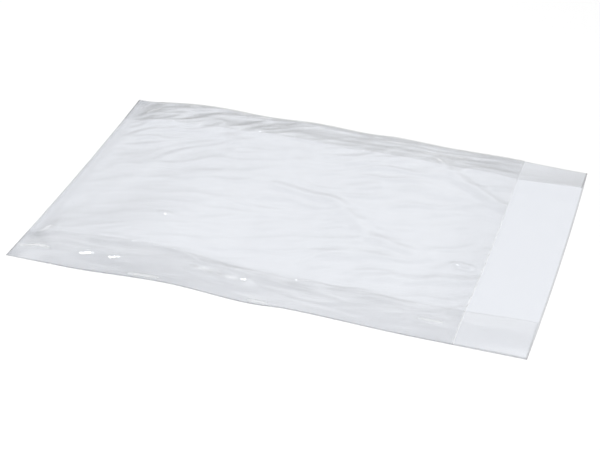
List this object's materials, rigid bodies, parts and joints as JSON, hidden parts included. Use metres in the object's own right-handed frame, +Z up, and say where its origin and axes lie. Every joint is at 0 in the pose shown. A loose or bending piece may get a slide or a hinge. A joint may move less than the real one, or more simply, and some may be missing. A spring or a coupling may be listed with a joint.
{
  "type": "flat cellophane bag",
  "caption": "Flat side-gusseted bag of clear film, welded across one end, with a lip of back panel and gussets beyond its open mouth.",
  "frame": {"origin": "on the table under the middle of the bag's outline", "axes": "+X along the length from the welded end to the lip, +Y across the width from the near side to the far side, +Z up from the table through the front panel"},
  "size_m": [0.3164, 0.2004, 0.0086],
  "materials": {
    "clear_film": "clear, glossy, faintly bluish film with soft creases"
  },
  "bodies": {
    "root": {"bag_film": "clear_film"}
  },
  "joints": []
}
